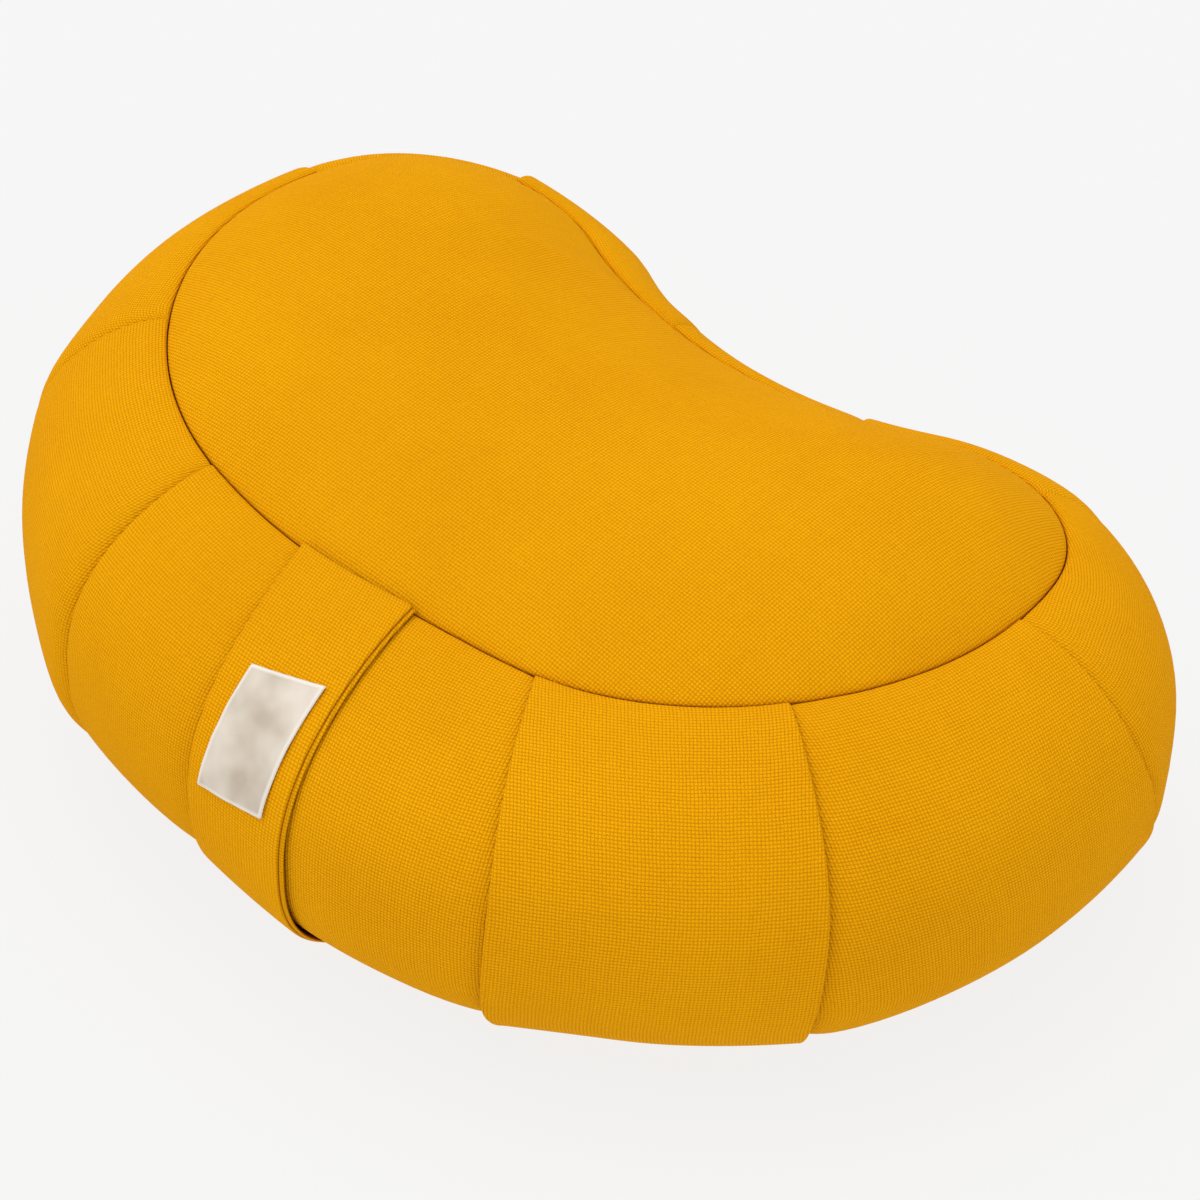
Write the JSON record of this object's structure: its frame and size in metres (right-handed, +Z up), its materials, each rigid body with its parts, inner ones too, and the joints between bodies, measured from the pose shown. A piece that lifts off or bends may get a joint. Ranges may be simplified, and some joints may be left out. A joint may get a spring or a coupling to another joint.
{
  "type": "crescent meditation cushion",
  "caption": "Filled crescent seat cushion with a crowned top panel, a pleated side band drawn in at both seams, and a flat carry strap with a bare patch.",
  "frame": {"origin": "centre of the bounding box in plan, at the height of the surface that the cushion rests on", "axes": "+X along the crescent from tip to tip, -Y out of the convex front that carries the strap, +Y out of the bay, +Z up through the crown"},
  "size_m": [0.4512, 0.3259, 0.1708],
  "materials": {
    "canvas": "plain-weave cotton canvas, matte",
    "patch_leather": "pale leather-look patch, stitched, bare"
  },
  "bodies": {
    "root": {"side_band": "canvas", "top_panel": "canvas", "base_panel": "canvas", "carry_strap": "canvas", "strap_patch": "patch_leather"}
  },
  "joints": []
}
